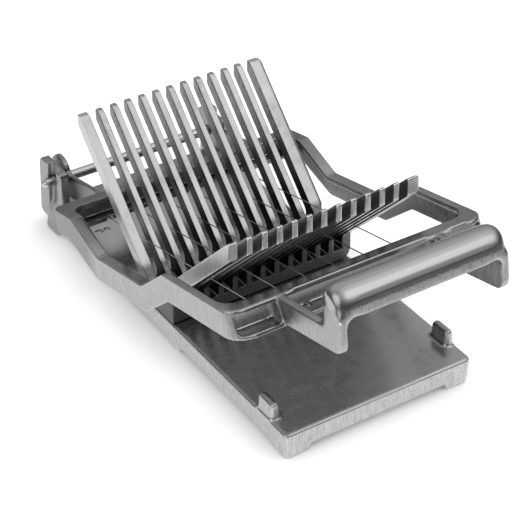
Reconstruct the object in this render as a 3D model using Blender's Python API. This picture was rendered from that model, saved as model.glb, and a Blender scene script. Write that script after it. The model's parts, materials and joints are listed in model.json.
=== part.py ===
"""Wire cheese cutter: a cast base with a ribbed V cradle, and a hinged cast arm that carries six cutting wires.

Metres, +Z up, the front faces -Y. The arm is held part way up, with its wires inside the cradle's slots.
"""

import math

import bmesh
import bpy

MM = 0.001

# Cradle
RIB_PITCH = 9.525 * MM
RIB_WIDTH = 4.0 * MM
END_RIB_WIDTH = 6.2 * MM
RIGHT_FLANK = 2.4 * MM
SLOT_COUNT = 12
FRONT_WING_RUN = 82.4 * MM
BACK_WING_RUN = 82.4 * MM
FRONT_RIB_DEPTH = 9.0 * MM
BACK_RIB_DEPTH = 8.2 * MM
APEX_ABOVE_PLATE = 9.15 * MM
PEDESTAL_FRONT_RUN = 21.5 * MM
PEDESTAL_BACK_RUN = 17.0 * MM
WING_SLOPE = math.radians(45)

# Base
BASE_MARGIN = 0.6 * MM
BASE_HEIGHT = 17.1 * MM
APEX_TO_BASE_FRONT = 138.3 * MM
PLATE_BEHIND_HINGE = 6.1 * MM
PLATE_THICKNESS = 4.0 * MM
SKIRT_WALL = 4.0 * MM
FOOT_HEIGHT = 4.6 * MM
FOOT_LENGTH = 14.5 * MM
NUB_WIDTH = 5.8 * MM
NUB_LENGTH = 14.8 * MM
NUB_HEIGHT = 9.9 * MM
NUB_FROM_FRONT = 15.0 * MM

# Hinge
APEX_TO_HINGE = 125.6 * MM
HINGE_HEIGHT = 34.1 * MM
ROD_DIAMETER = 6.35 * MM
ROD_OVERHANG = 5.0 * MM

# Arm, along its own length from the hinge
ARM_WIDTH = 167.0 * MM
ARM_SIDE_SHIFT = 1.2 * MM
ARM_DEPTH = 15.6 * MM
ARM_TOP = 3.35 * MM
ARM_WALL = 3.5 * MM
CROSSBAR_START = 46.0 * MM
CROSSBAR_LENGTH = 10.0 * MM
FRONT_BAR_START = 237.0 * MM
FRONT_BAR_LENGTH = 9.6 * MM
FRONT_FLANGE_REACH = 6.0 * MM
DIP_DEPTH = 16.3 * MM
REST_PITCH = math.radians(12.52)

# Handle
HANDLE_WIDTH = 107.0 * MM
HAND_GAP = 39.7 * MM
HANDLE_DEPTH = 20.0 * MM
HANDLE_ROUND_RISE = 11.95 * MM
HANDLE_CENTRE_RISE = 13.5 * MM
HANDLE_EAR_WIDTH = 4.8 * MM
HANDLE_STRIP_HEIGHT = 5.35 * MM

# Wires
WIRE_DIAMETER = 0.7 * MM
WIRE_DROP = 10.95 * MM
WIRE_EVERY = 2

# Clearances
PIECE_GAP = 0.3 * MM
BORE_GAP = 0.05 * MM
EAR_SIDE_GAP = 1.5 * MM
SLOT_FLOOR_GAP = 0.8 * MM

# Derived: across
slot_width = RIB_PITCH - RIB_WIDTH
slot_centres = [(k - (SLOT_COUNT - 1) / 2) * RIB_PITCH for k in range(SLOT_COUNT)]
arm_half = ARM_WIDTH / 2
cradle_half = slot_centres[-1] + slot_width / 2 + END_RIB_WIDTH
base_half = cradle_half + BASE_MARGIN
wire_places = slot_centres[::WIRE_EVERY]

# Derived: along, with the apex of the V at y = 0
base_front = -APEX_TO_BASE_FRONT
hinge_y = APEX_TO_HINGE
base_back = hinge_y + PLATE_BEHIND_HINGE
hinge_z = HINGE_HEIGHT
rod_radius = ROD_DIAMETER / 2
arm_bottom = ARM_TOP - ARM_DEPTH
front_bar_front = FRONT_BAR_START + FRONT_BAR_LENGTH
flange_front = front_bar_front + FRONT_FLANGE_REACH
handle_reach = front_bar_front + HAND_GAP + HANDLE_DEPTH
crossbar_front = CROSSBAR_START + CROSSBAR_LENGTH
apex_z = BASE_HEIGHT + APEX_ABOVE_PLATE
nub_top = BASE_HEIGHT + NUB_HEIGHT
wire_radius = WIRE_DIAMETER / 2

# The arm's lowest pitch, where its front bar meets the nubs
nub_y = base_front + NUB_FROM_FRONT + NUB_LENGTH / 2
stop_reach = hinge_y - nub_y
stop_pitch = math.asin((nub_top + PIECE_GAP - hinge_z - arm_bottom) / stop_reach)


def clear_scene():
    for obj in list(bpy.data.objects):
        bpy.data.objects.remove(obj, do_unlink=True)
    for collection in list(bpy.data.collections):
        bpy.data.collections.remove(collection)


def new_collection(name, hidden):
    collection = bpy.data.collections.new(name)
    bpy.context.scene.collection.children.link(collection)
    collection.hide_render = hidden
    return collection


clear_scene()
parts = new_collection("cheese_cutter", False)
helpers = new_collection("helpers", True)


def material(name, colour, metallic, roughness):
    made = bpy.data.materials.new(name)
    made.use_nodes = True
    shader = made.node_tree.nodes["Principled BSDF"]
    shader.inputs["Base Color"].default_value = (*colour, 1)
    shader.inputs["Metallic"].default_value = metallic
    shader.inputs["Roughness"].default_value = roughness
    return made


def place(axis, along, p, q):
    """A point from its place along one axis and its two coordinates across it, in the order XYZ."""
    return {"X": (along, p, q), "Y": (p, along, q), "Z": (p, q, along)}[axis]


def finish_mesh(name, shape, is_part):
    bmesh.ops.recalc_face_normals(shape, faces=shape.faces[:])
    mesh = bpy.data.meshes.new(name)
    shape.to_mesh(mesh)
    shape.free()
    obj = bpy.data.objects.new(name, mesh)
    (parts if is_part else helpers).objects.link(obj)
    if not is_part:
        obj.hide_render = True
        obj.display_type = "WIRE"
    return obj


def add_loft(shape, sections):
    rings = [[shape.verts.new(point) for point in section] for section in sections]
    count = len(rings[0])
    for low, high in zip(rings, rings[1:]):
        for i in range(count):
            j = (i + 1) % count
            shape.faces.new((low[i], low[j], high[j], high[i]))
    shape.faces.new(rings[0])
    shape.faces.new(list(reversed(rings[-1])))


def loft(name, sections, is_part=False):
    shape = bmesh.new()
    add_loft(shape, sections)
    return finish_mesh(name, shape, is_part)


def prisms(name, outline, spans, axis, is_part=False):
    """One object of the same outline pushed through each span of the axis."""
    shape = bmesh.new()
    for low, high in spans:
        add_loft(shape, [[place(axis, along, p, q) for p, q in outline] for along in (low, high)])
    return finish_mesh(name, shape, is_part)


def circle(p, q, radius, sides, turn=0.0):
    angles = [turn + 2 * math.pi * k / sides for k in range(sides)]
    return [(p + radius * math.cos(angle), q + radius * math.sin(angle)) for angle in angles]


def rods(name, centres, radius, low, high, axis, sides=16, is_part=False):
    shape = bmesh.new()
    for p, q in centres:
        outline = circle(p, q, radius, sides, math.pi / sides)
        add_loft(shape, [[place(axis, along, a, b) for a, b in outline] for along in (low, high)])
    return finish_mesh(name, shape, is_part)


def arc(p, q, radius, start, end, steps):
    """Points on an arc, angles in degrees, both ends included."""
    angles = [math.radians(start + (end - start) * k / steps) for k in range(steps + 1)]
    return [(p + radius * math.cos(angle), q + radius * math.sin(angle)) for angle in angles]


def rounded_corners(corners, steps=4):
    """An outline of (p, q, radius) corners, each rounded by its own radius."""
    outline = []
    count = len(corners)
    for i, (p, q, radius) in enumerate(corners):
        if radius <= 0:
            outline.append((p, q))
            continue
        before, after = corners[i - 1], corners[(i + 1) % count]
        to_before = (before[0] - p, before[1] - q)
        to_after = (after[0] - p, after[1] - q)
        length_before = math.hypot(*to_before)
        length_after = math.hypot(*to_after)
        unit_before = (to_before[0] / length_before, to_before[1] / length_before)
        unit_after = (to_after[0] / length_after, to_after[1] / length_after)
        dot = unit_before[0] * unit_after[0] + unit_before[1] * unit_after[1]
        half = math.acos(max(-1.0, min(1.0, dot))) / 2
        back_off = radius / math.tan(half)
        middle = (unit_before[0] + unit_after[0], unit_before[1] + unit_after[1])
        middle_length = math.hypot(*middle)
        reach = radius / math.sin(half)
        centre = (p + middle[0] / middle_length * reach, q + middle[1] / middle_length * reach)
        first = (p + unit_before[0] * back_off, q + unit_before[1] * back_off)
        last = (p + unit_after[0] * back_off, q + unit_after[1] * back_off)
        start = math.atan2(first[1] - centre[1], first[0] - centre[0])
        end = math.atan2(last[1] - centre[1], last[0] - centre[0])
        turn = (end - start + math.pi) % (2 * math.pi) - math.pi
        for k in range(steps + 1):
            angle = start + turn * k / steps
            outline.append((centre[0] + radius * math.cos(angle), centre[1] + radius * math.sin(angle)))
    return outline


def rounded_box(p_low, p_high, q_low, q_high, radius, steps=4):
    corners = ((p_low, q_low), (p_high, q_low), (p_high, q_high), (p_low, q_high))
    return rounded_corners([(p, q, radius) for p, q in corners], steps)


def combine(target, other, operation):
    modifier = target.modifiers.new(other.name, "BOOLEAN")
    modifier.operation = operation
    modifier.solver = "EXACT"
    modifier.object = other


def cut(target, other):
    combine(target, other, "DIFFERENCE")


def join(target, other):
    combine(target, other, "UNION")


def mirrored(outline):
    return [(-p, q) for p, q in reversed(outline)]


# Base plate with its skirt: stacked outlines, the sides drawn in a little towards the ground
BASE_CORNER = 3.0 * MM
EDGE_ROUND = 1.8 * MM
SKIRT_DRAFT = 0.8 * MM


def base_section(z, inset):
    outline = rounded_box(-base_half + inset, base_half - inset, base_front + inset, base_back - inset, BASE_CORNER)
    return [(x, y, z) for x, y in outline]


base = loft(
    "base_casting",
    [base_section(0, SKIRT_DRAFT), base_section(BASE_HEIGHT - EDGE_ROUND, 0)]
    + [
        base_section(
            BASE_HEIGHT - EDGE_ROUND + EDGE_ROUND * math.sin(math.radians(angle)),
            EDGE_ROUND * (1 - math.cos(math.radians(angle))),
        )
        for angle in (30, 60, 90)
    ],
    is_part=True,
)
hollow_half = base_half - SKIRT_WALL
under = rounded_box(-hollow_half, hollow_half, base_front + SKIRT_WALL, base_back - SKIRT_WALL, BASE_CORNER)
cut(base, prisms("base_hollow", under, [(-PLATE_THICKNESS, BASE_HEIGHT - PLATE_THICKNESS)], "Z"))

# Raised edges between the feet
MIDDLE_FOOT_HALF = 4.0 * MM
RAISED_SLOPE_SHARE = 0.6
POST_THICKNESS = 6.0 * MM
POST_WEB = 2.2 * MM
POST_RISE = 12.1 * MM
POST_SIDE_INSET = 0.4 * MM
POST_BEFORE_HINGE = 14.6 * MM
POST_BEHIND_HINGE = 17.4 * MM
POST_BOTTOM = 5.0 * MM
REAR_FOOT_BEFORE_HINGE = 10.1 * MM
REAR_FOOT_BEHIND_HINGE = 5.4 * MM
middle_foot_y = -PEDESTAL_FRONT_RUN
post_outer = base_half - POST_SIDE_INSET
post_inner = post_outer - POST_THICKNESS
post_front = hinge_y - POST_BEFORE_HINGE
post_back = hinge_y + POST_BEHIND_HINGE
rear_foot_front = hinge_y - REAR_FOOT_BEFORE_HINGE
rear_foot_back = hinge_y + REAR_FOOT_BEHIND_HINGE


def raised_edge(low, high):
    """An outline under the skirt, between two feet, with sloped ends."""
    slope = FOOT_HEIGHT * RAISED_SLOPE_SHARE
    lower = [(low, -FOOT_HEIGHT), (high, -FOOT_HEIGHT), (high, 0)]
    return lower + [(high - slope, FOOT_HEIGHT), (low + slope, FOOT_HEIGHT), (low, 0)]


across = raised_edge(-base_half + FOOT_LENGTH, base_half - FOOT_LENGTH)
cut(base, prisms("raised_ends", across, [(base_front - SKIRT_WALL, base_back + SKIRT_WALL)], "Y"))
along_front = raised_edge(base_front + FOOT_LENGTH, middle_foot_y - MIDDLE_FOOT_HALF)
cut(base, prisms("raised_sides_front", along_front, [(-base_half * 2, base_half * 2)], "X"))
along_back = raised_edge(middle_foot_y + MIDDLE_FOOT_HALF, rear_foot_front)
cut(base, prisms("raised_sides_back", along_back, [(-base_half * 2, base_half * 2)], "X"))

REAR_RISE = 7.2 * MM
REAR_SLOPE_INSET = 1.5 * MM
REAR_END_RISE = 9.2 * MM
rear_under = [
    (rear_foot_back, -FOOT_HEIGHT),
    (rear_foot_back, 0),
    (post_back - REAR_SLOPE_INSET, REAR_RISE),
    (post_back + SKIRT_WALL, REAR_END_RISE),
    (post_back + SKIRT_WALL, -FOOT_HEIGHT),
]

# Rear posts: a web with an upright lip before and behind the rod, open to the outside and at the top
POST_FOOT_INSET = 1.0 * MM
POST_PLATE_INSET = 2.2 * MM
POST_TOP_INSET = 4.5 * MM
POST_BACK_RISE = 12.7 * MM
POST_BACK_ROUND = 4.0 * MM
POST_FRONT_ROUND = 2.5 * MM
FRONT_LIP = 5.6 * MM
POCKET_BACK = 4.6 * MM
POCKET_START = 10.0 * MM
POCKET_FULL = 20.0 * MM
POCKET_OVER = 5.0 * MM
POCKET_LEAN_SHARE = 0.06
POCKET_CORNER = 1.2 * MM
post_top = hinge_z + POST_RISE
post_profile = [
    (post_front, POST_BOTTOM, 0),
    (post_back - POST_FOOT_INSET, POST_BOTTOM, 0),
    (post_back - POST_PLATE_INSET, BASE_HEIGHT, 0),
    (post_back - POST_TOP_INSET, hinge_z + POST_BACK_RISE, POST_BACK_ROUND),
    (post_front, post_top, POST_FRONT_ROUND),
]
pocket_levels = [(POCKET_START, 0.0), (POCKET_FULL, 1.0), (post_top + POCKET_OVER, 1.0)]
for side in (-1, 1):
    span = sorted((side * post_inner, side * post_outer))
    label = "left" if side < 0 else "right"
    join(base, prisms(f"post_{label}", rounded_corners(post_profile), [span], "X"))
cut(base, prisms("rear_under", rear_under, [(-base_half * 2, base_half * 2)], "X"))
for side in (-1, 1):
    label = "left" if side < 0 else "right"
    sections = []
    for z, depth_share in pocket_levels:
        floor = side * (post_outer - (POST_THICKNESS - POST_WEB) * depth_share)
        outside = side * (post_outer + POST_THICKNESS)
        lean = (z - POST_BOTTOM) * POCKET_LEAN_SHARE
        low, high = min(floor, outside), max(floor, outside)
        outline = rounded_box(low, high, post_front + FRONT_LIP, hinge_y + POCKET_BACK - lean, POCKET_CORNER, 2)
        sections.append([(x, y, z) for x, y in outline])
    cut(base, loft(f"post_pocket_{label}", sections))
BORE_SIDES = 36
cut(base, rods("post_bore", [(hinge_y, hinge_z)], rod_radius + BORE_GAP, -arm_half, arm_half, "X", BORE_SIDES))

# Rear feet that spread a little under the posts
FOOT_SPREAD = 2.0 * MM
FOOT_CHAMFER = 1.0 * MM
FOOT_STRAIGHT = 2.0 * MM
FOOT_BLEND_HEIGHT = 9.0 * MM
FOOT_BLEND_INSET = 0.4 * MM
FOOT_BLEND_LENGTH = 1.5 * MM
FOOT_CORNER = 1.4 * MM
FOOT_ROOT_SHARE = 0.9
foot_levels = [
    (0.0, FOOT_SPREAD, FOOT_CHAMFER),
    (FOOT_STRAIGHT, FOOT_SPREAD, 0.0),
    (FOOT_BLEND_HEIGHT, -FOOT_BLEND_INSET, -FOOT_BLEND_LENGTH),
]
for side in (-1, 1):
    label = "left" if side < 0 else "right"
    sections = []
    for z, spread, inset in foot_levels:
        far, near = side * (base_half + spread), side * (base_half - SKIRT_WALL * FOOT_ROOT_SHARE)
        low, high = min(far, near), max(far, near)
        outline = rounded_box(low, high, rear_foot_front + inset, rear_foot_back - inset, FOOT_CORNER, 3)
        sections.append([(x, y, z) for x, y in outline])
    join(base, loft(f"rear_foot_{label}", sections))

# Nubs that stop the arm, each on a flared foot, with round ends and a round top
NUB_ROUND = 2.6 * MM
NUB_ROUND_SHARE = 0.7
NUB_SINK = 2.0 * MM
NUB_FLARE = 1.2 * MM
NUB_FLARE_HEIGHT = 2.0 * MM
NUB_FLARE_SHARES = (0.35, 0.42)
NUB_TAPER = 0.3 * MM
NUB_CORNER_SHARE = 0.4
NUB_FROM_SIDE = 1.0 * MM
nub_levels = [
    (-NUB_SINK, -NUB_FLARE),
    (0.0, -NUB_FLARE),
    (NUB_FLARE_HEIGHT * NUB_FLARE_SHARES[0], -NUB_FLARE * NUB_FLARE_SHARES[1]),
    (NUB_FLARE_HEIGHT, 0.0),
    (NUB_HEIGHT - NUB_ROUND, NUB_TAPER),
]
nub_levels += [
    (
        NUB_HEIGHT - NUB_ROUND + NUB_ROUND * math.sin(math.radians(angle)),
        NUB_TAPER + NUB_ROUND_SHARE * NUB_ROUND * (1 - math.cos(math.radians(angle))),
    )
    for angle in (30, 60, 90)
]
for side in (-1, 1):
    label = "left" if side < 0 else "right"
    centre_x = side * (base_half - NUB_FROM_SIDE - NUB_WIDTH / 2)
    sections = []
    for rise, inset in nub_levels:
        outline = rounded_box(
            centre_x - NUB_WIDTH / 2 + inset,
            centre_x + NUB_WIDTH / 2 - inset,
            nub_y - NUB_LENGTH / 2 + inset,
            nub_y + NUB_LENGTH / 2 - inset,
            NUB_WIDTH * NUB_CORNER_SHARE - inset,
            4,
        )
        sections.append([(x, y, BASE_HEIGHT + rise) for x, y in outline])
    join(base, loft(f"nub_{label}", sections))

# Slot and hole in the plate behind the cradle
PLATE_SLOT_BEHIND_CRADLE = 67.5 * MM
PLATE_SLOT_FROM_SIDE = 8.95 * MM
PLATE_SLOT_LENGTH = 4.4 * MM
PLATE_SLOT_HALF = 1.8 * MM
PLATE_HOLE_FROM_SIDE = 16.55 * MM
slot_y = PEDESTAL_BACK_RUN + PLATE_SLOT_BEHIND_CRADLE
slot_left = -base_half + PLATE_SLOT_FROM_SIDE
slot_right = slot_left + PLATE_SLOT_LENGTH
plate_slot = rounded_box(slot_left, slot_right, slot_y - PLATE_SLOT_HALF, slot_y + PLATE_SLOT_HALF, 0)
cut(base, prisms("plate_slot", plate_slot, [(0, BASE_HEIGHT * 2)], "Z"))
hole_x = -base_half + PLATE_HOLE_FROM_SIDE
cut(base, rods("plate_hole", [(hole_x, slot_y)], PLATE_SLOT_HALF, 0, BASE_HEIGHT * 2, "Z", 16))

# Cradle
tangent = math.tan(WING_SLOPE)
front_wing_tip_y = -FRONT_WING_RUN
front_tip_z = apex_z + FRONT_WING_RUN * tangent
front_drop = FRONT_RIB_DEPTH / math.cos(WING_SLOPE)
back_drop = BACK_RIB_DEPTH / math.cos(WING_SLOPE)
back_wing_tip_y = BACK_WING_RUN
back_tip_z = apex_z + BACK_WING_RUN * tangent
BACK_TIP_CUT = 4.0 * MM
BACK_ROOT_ROUND = 5.0 * MM
BACK_UNDER_ROUND = 2.0 * MM
BACK_TIP_ROUND = 1.0 * MM
BACK_CUT_ROUND = 0.6 * MM
FRONT_TIP_ROUND = 1.2 * MM
FRONT_UNDER_ROUND = 2.4 * MM
FRONT_ROOT_ROUND = 4.0 * MM
cradle_bottom = BASE_HEIGHT + PIECE_GAP
front_underside = apex_z + PEDESTAL_FRONT_RUN * tangent - front_drop
back_underside = apex_z + PEDESTAL_BACK_RUN * tangent - back_drop


def cradle_section(x, inset):
    """The cradle's side outline, with its tips and working faces drawn in by the inset."""
    drop = inset / math.cos(WING_SLOPE)
    corners = [
        (-PEDESTAL_FRONT_RUN, cradle_bottom, 0),
        (PEDESTAL_BACK_RUN, cradle_bottom, 0),
        (PEDESTAL_BACK_RUN, back_underside, BACK_ROOT_ROUND),
        (back_wing_tip_y - inset, back_tip_z - back_drop - inset, BACK_UNDER_ROUND),
        (back_wing_tip_y - inset, back_tip_z - BACK_TIP_CUT - drop, BACK_TIP_ROUND),
        (back_wing_tip_y - BACK_TIP_CUT, back_tip_z - BACK_TIP_CUT - drop, BACK_CUT_ROUND),
        (0, apex_z - drop, 0),
        (front_wing_tip_y + inset, front_tip_z - inset - drop, FRONT_TIP_ROUND),
        (front_wing_tip_y + inset, front_tip_z - front_drop - inset, FRONT_UNDER_ROUND),
        (-PEDESTAL_FRONT_RUN, front_underside, FRONT_ROOT_ROUND),
    ]
    return [(x, y, z) for y, z in rounded_corners(corners, 3)]


FLANK_INSET_SHARE = 0.8
flank_shares = [(0.0, 0.0), (0.5, 0.13), (0.87, 0.5), (1.0, 1.0)]
cradle_sections = [cradle_section(-cradle_half, 0)]
for out_share, in_share in flank_shares:
    flank_inset = RIGHT_FLANK * FLANK_INSET_SHARE * in_share
    cradle_sections.append(cradle_section(cradle_half + RIGHT_FLANK * out_share, flank_inset))
cradle = loft("cradle", cradle_sections, is_part=True)
TOE_ROUND = 6.5 * MM
TOE_SIDE = 0.4 * MM
toe_x = cradle_half + TOE_SIDE - TOE_ROUND
toe_outside = toe_x + TOE_ROUND * 2
toe = [(toe_outside, cradle_bottom - TOE_ROUND), (toe_x, cradle_bottom - TOE_ROUND)]
toe += [(toe_x, cradle_bottom)] + arc(toe_x, cradle_bottom + TOE_ROUND, TOE_ROUND, -90, 0, 5)[1:]
toe += [(toe_x + TOE_ROUND, front_underside), (toe_outside, front_underside + TOE_ROUND)]
cut(cradle, prisms("cradle_toe", toe, [(-FRONT_WING_RUN, BACK_WING_RUN)], "Y"))


def wire_height(y, pitch):
    """Height of the wires' line over y, with the arm at this pitch."""
    reach = (hinge_y - y - WIRE_DROP * math.sin(pitch)) / math.cos(pitch)
    return hinge_z + reach * math.sin(pitch) - WIRE_DROP * math.cos(pitch)


floor_front = wire_height(-PEDESTAL_FRONT_RUN, stop_pitch) - wire_radius - SLOT_FLOOR_GAP
floor_back = wire_height(PEDESTAL_BACK_RUN, stop_pitch) - wire_radius - SLOT_FLOOR_GAP
above = front_tip_z + back_drop
slot_outline = [
    (front_wing_tip_y - front_drop, floor_front),
    (-PEDESTAL_FRONT_RUN, floor_front),
    (PEDESTAL_BACK_RUN, floor_back),
    (back_wing_tip_y + back_drop, floor_back),
    (back_wing_tip_y + back_drop, above),
    (front_wing_tip_y - front_drop, above),
]
slot_spans = [(centre - slot_width / 2, centre + slot_width / 2) for centre in slot_centres]
cut(cradle, prisms("cradle_slots", slot_outline, slot_spans, "X"))

# Screws from below that hold the cradle on the base
SCREW_RADIUS = 2.0 * MM
SCREW_HEAD_RADIUS = 3.6 * MM
SCREW_HEAD_HEIGHT = 2.4 * MM
SCREW_DEPTH = 4.0 * MM
SCREW_FROM_WALL = 6.0 * MM
SCREW_CHAMFER_SHARES = (0.8, 0.4)
WASHER_FACE = BASE_HEIGHT - PLATE_THICKNESS
screw_x = (slot_centres[1] + RIB_PITCH / 2, slot_centres[-2] - RIB_PITCH / 2)
screw_y = (-PEDESTAL_FRONT_RUN + SCREW_FROM_WALL, PEDESTAL_BACK_RUN - SCREW_FROM_WALL)
screw_places = [(x, y) for y in screw_y for x in screw_x]
screw_hole_radius = SCREW_RADIUS + PIECE_GAP
cut(base, rods("base_screw_holes", screw_places, screw_hole_radius, 0, BASE_HEIGHT * 2, "Z", 16))
hole_top = cradle_bottom + SCREW_DEPTH + PIECE_GAP
cut(cradle, rods("cradle_screw_holes", screw_places, screw_hole_radius, 0, hole_top, "Z", 16))
screws = []
for number, (x, y) in enumerate(screw_places, 1):
    head_low = WASHER_FACE - PIECE_GAP - SCREW_HEAD_HEIGHT
    levels = [
        (head_low, SCREW_HEAD_RADIUS * SCREW_CHAMFER_SHARES[0]),
        (head_low + SCREW_HEAD_HEIGHT * SCREW_CHAMFER_SHARES[1], SCREW_HEAD_RADIUS),
        (WASHER_FACE - PIECE_GAP, SCREW_HEAD_RADIUS),
        (WASHER_FACE - PIECE_GAP, SCREW_RADIUS),
        (cradle_bottom + SCREW_DEPTH, SCREW_RADIUS),
    ]
    sections = [[(p, q, z) for p, q in circle(x, y, radius, 16)] for z, radius in levels]
    screws.append(loft(f"cradle_screw_{number}", sections, is_part=True))

# Pivot rod with chamfered ends
rod_half = base_half + ROD_OVERHANG
ROD_NOSE = 3.6 * MM
nose_shares = [(0.0, 0.38), (0.14, 0.6), (0.39, 0.82), (0.72, 0.96), (1.0, 1.0)]
rod_levels = [(-rod_half + ROD_NOSE * back, rod_radius * across) for back, across in nose_shares]
rod_levels += [(rod_half - ROD_NOSE * back, rod_radius * across) for back, across in reversed(nose_shares)]
rod_sections = [[(x, p, q) for p, q in circle(hinge_y, hinge_z, radius, BORE_SIDES)] for x, radius in rod_levels]
pivot_rod = loft("pivot_rod", rod_sections, is_part=True)

# Arm. Its own frame: the hinge is the origin, a forward reach of a is y = -a, and z is its own up
hinge = bpy.data.objects.new("arm_hinge", None)
parts.objects.link(hinge)
hinge.location = (ARM_SIDE_SHIFT, hinge_y, hinge_z)
hinge.rotation_euler = (-REST_PITCH, 0, 0)


def side_view(outline):
    """Outline points of (reach, up) as (y, z) in the arm's frame."""
    return [(-a, b) for a, b in outline]


def plan_view(outline):
    """Outline points of (x, reach) as (x, y) in the arm's frame."""
    return [(x, -a) for x, a in outline]


# The rails' dropped middle: where its slopes and its floor start and end, on top and underneath
DIP_START = 70.0 * MM
DIP_FLOOR_START = 97.5 * MM
DIP_FLOOR_END = 150.0 * MM
DIP_END = 178.0 * MM
UNDER_DIP_START = 63.0 * MM
UNDER_FLOOR_START = 93.5 * MM
UNDER_FLOOR_END = 152.0 * MM
UNDER_DIP_END = 180.5 * MM
UNDER_DIP_DEPTH = 15.9 * MM
DIP_ROUND = 6.0 * MM
dip_top = ARM_TOP - DIP_DEPTH
dip_bottom = arm_bottom - UNDER_DIP_DEPTH
rail_top = [
    (CROSSBAR_START, ARM_TOP),
    (DIP_START, ARM_TOP),
    (DIP_FLOOR_START, dip_top),
    (DIP_FLOOR_END, dip_top),
    (DIP_END, ARM_TOP),
    (flange_front, ARM_TOP),
]
rail_bottom = [
    (flange_front, arm_bottom),
    (UNDER_DIP_END, arm_bottom),
    (UNDER_FLOOR_END, dip_bottom),
    (UNDER_FLOOR_START, dip_bottom),
    (UNDER_DIP_START, arm_bottom),
    (CROSSBAR_START, arm_bottom),
]
rail_corners = [(a, b, 0 if a in (CROSSBAR_START, flange_front) else DIP_ROUND) for a, b in rail_top + rail_bottom]
arm = prisms("cutting_arm", side_view(rounded_corners(rail_corners, 3)), [(-arm_half, arm_half)], "X", is_part=True)

TOP_CORNER = 9.5 * MM
BOTTOM_CORNER = 12.5 * MM
REAR_CORNER = 4.0 * MM
OUTSIDE = 40.0 * MM


def arm_outline(b, front, corner):
    """The arm's outline seen from above, whose front face leans out towards its lower edge."""
    corners = [(-arm_half, CROSSBAR_START, REAR_CORNER), (arm_half, CROSSBAR_START, REAR_CORNER)]
    corners += [(arm_half, front, corner), (-arm_half, front, corner)]
    return [(x, -a, b) for x, a in rounded_corners(corners, 6)]


outline_levels = [
    (-OUTSIDE * 2, flange_front, BOTTOM_CORNER),
    (arm_bottom, flange_front, BOTTOM_CORNER),
    (ARM_TOP, front_bar_front, TOP_CORNER),
    (OUTSIDE, front_bar_front, TOP_CORNER),
]
combine(arm, loft("arm_outline", [arm_outline(*level) for level in outline_levels]), "INTERSECT")

WIDE_FLANGE = 7.5 * MM
NARROW_FLANGE = 5.0 * MM
WINDOW_CORNER = 10.0 * MM
WINDOW_REAR_CORNER = 7.0 * MM
WIDE_FLANGE_END = 158.0 * MM
NARROW_FLANGE_START = 176.0 * MM
window_corners = [
    (-arm_half + WIDE_FLANGE, crossbar_front, WINDOW_REAR_CORNER),
    (arm_half - WIDE_FLANGE, crossbar_front, WINDOW_REAR_CORNER),
    (arm_half - WIDE_FLANGE, WIDE_FLANGE_END, 0),
    (arm_half - NARROW_FLANGE, NARROW_FLANGE_START, 0),
    (arm_half - NARROW_FLANGE, FRONT_BAR_START, WINDOW_CORNER),
    (-arm_half + NARROW_FLANGE, FRONT_BAR_START, WINDOW_CORNER),
    (-arm_half + NARROW_FLANGE, NARROW_FLANGE_START, 0),
    (-arm_half + WIDE_FLANGE, WIDE_FLANGE_END, 0),
]
cut(arm, prisms("arm_window", plan_view(rounded_corners(window_corners, 5)), [(-OUTSIDE * 2, OUTSIDE * 2)], "Z"))

# Under the rails' top flange, and the open channels of the two cross members
flange_under = [(a, b - ARM_WALL) for a, b in rail_top[1:-1]]
recess_end = FRONT_BAR_START - WINDOW_CORNER
recess = [(crossbar_front, -OUTSIDE), (crossbar_front, ARM_TOP - ARM_WALL)]
recess += flange_under + [(recess_end, ARM_TOP - ARM_WALL), (recess_end, -OUTSIDE)]
recess_span = (-arm_half + ARM_WALL, arm_half - ARM_WALL)
cut(arm, prisms("rail_recess", side_view(recess), [recess_span], "X"))
REAR_CHANNEL_CORNER = 1.5 * MM
channel_top = ARM_TOP - ARM_WALL
channel_bottom = arm_bottom + ARM_WALL
channel_back = CROSSBAR_START + ARM_WALL
rear_channel = rounded_box(
    channel_back, crossbar_front + ARM_WALL, channel_bottom, channel_top, REAR_CHANNEL_CORNER, 3
)
cut(arm, prisms("rear_channel", side_view(rear_channel), [recess_span], "X"))
WEB_THICKNESS = 4.6 * MM
LOWER_FLANGE = 2.2 * MM
UPPER_FLANGE = 2.6 * MM
CHANNEL_CORNER = 3.2 * MM
CHANNEL_END_WALL = 4.0 * MM
CHANNEL_OUTER_LIP = 0.8 * MM
CHANNEL_INNER_LIP = 0.6 * MM
CHANNEL_FILLET = 1.6 * MM
CHANNEL_FILLET_SHARES = (0.31, 0.44)
CHANNEL_TOP_FILLET = 1.0 * MM
handle_half = HANDLE_WIDTH / 2
handle_inner = handle_half - HANDLE_EAR_WIDTH
web_front = FRONT_BAR_START + WEB_THICKNESS
channel_far = flange_front + OUTSIDE
channel_spans = [
    (-arm_half + CHANNEL_END_WALL, -handle_half - CHANNEL_OUTER_LIP),
    (-handle_inner + CHANNEL_INNER_LIP, handle_inner - CHANNEL_INNER_LIP),
    (handle_half + CHANNEL_OUTER_LIP, arm_half - CHANNEL_END_WALL),
]
channel_low, channel_high = arm_bottom + LOWER_FLANGE, ARM_TOP - UPPER_FLANGE
channel_levels = [
    (channel_low, CHANNEL_FILLET),
    (channel_low + CHANNEL_FILLET * CHANNEL_FILLET_SHARES[0], CHANNEL_FILLET * CHANNEL_FILLET_SHARES[1]),
    (channel_low + CHANNEL_FILLET, 0.0),
    (channel_high - CHANNEL_TOP_FILLET, 0.0),
    (channel_high, CHANNEL_TOP_FILLET),
]
for number, (low, high) in enumerate(channel_spans, 1):
    sections = []
    for b, inset in channel_levels:
        corners = [
            (low + inset, web_front + inset, CHANNEL_CORNER),
            (high - inset, web_front + inset, CHANNEL_CORNER),
            (high - inset, channel_far, 0),
            (low + inset, channel_far, 0),
        ]
        sections.append([(x, -a, b) for x, a in rounded_corners(corners, 4)])
    cut(arm, loft(f"front_channel_{number}", sections))

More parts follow.
